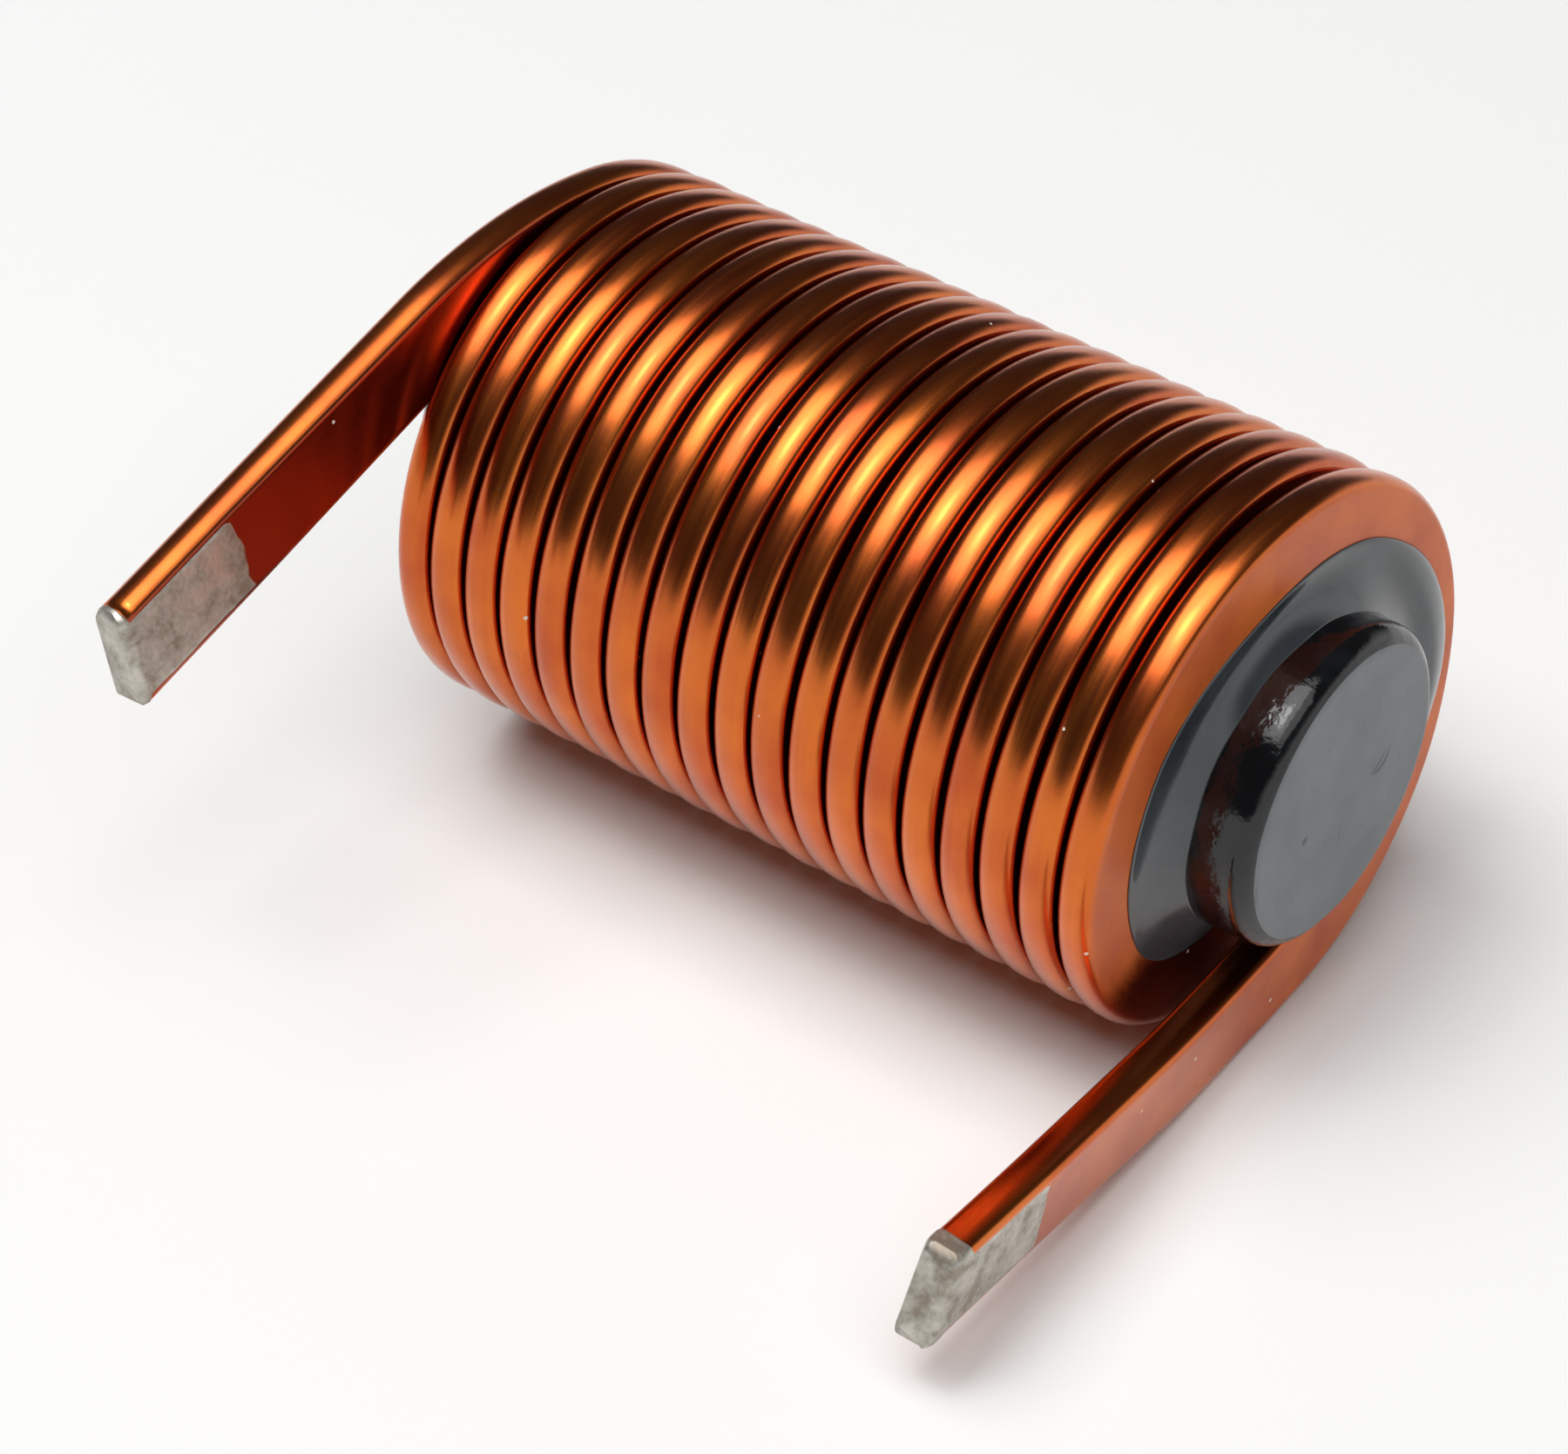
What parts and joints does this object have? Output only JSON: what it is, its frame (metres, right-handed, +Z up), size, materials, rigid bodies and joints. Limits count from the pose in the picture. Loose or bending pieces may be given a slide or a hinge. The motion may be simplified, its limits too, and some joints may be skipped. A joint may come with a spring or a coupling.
{
  "type": "axial inductor",
  "caption": "Rod-core choke: flat enamelled copper wire wound on edge round a ferrite rod, bonded with black epoxy, with two flat tinned leads side by side.",
  "frame": {"origin": "on the surface the part lies on, under the middle of its bounding box", "axes": "+X along the coil and rod axis, towards the end whose lead leaves at the bottom; -Y the way both leads point; +Z up"},
  "size_m": [0.0246, 0.0224, 0.0142],
  "materials": {
    "enamelled_copper": "copper seen through clear amber enamel, glossy",
    "ferrite": "sintered and ground, matt",
    "black_epoxy": "poured and cured, glossy",
    "solder_tin": "dip tinned, dull and mottled"
  },
  "bodies": {
    "root": {"ferrite_rod": "ferrite", "flat_wire_winding": "enamelled_copper", "epoxy_front": "black_epoxy", "epoxy_rear": "black_epoxy", "solder_front": "solder_tin", "solder_rear": "solder_tin"}
  },
  "joints": []
}
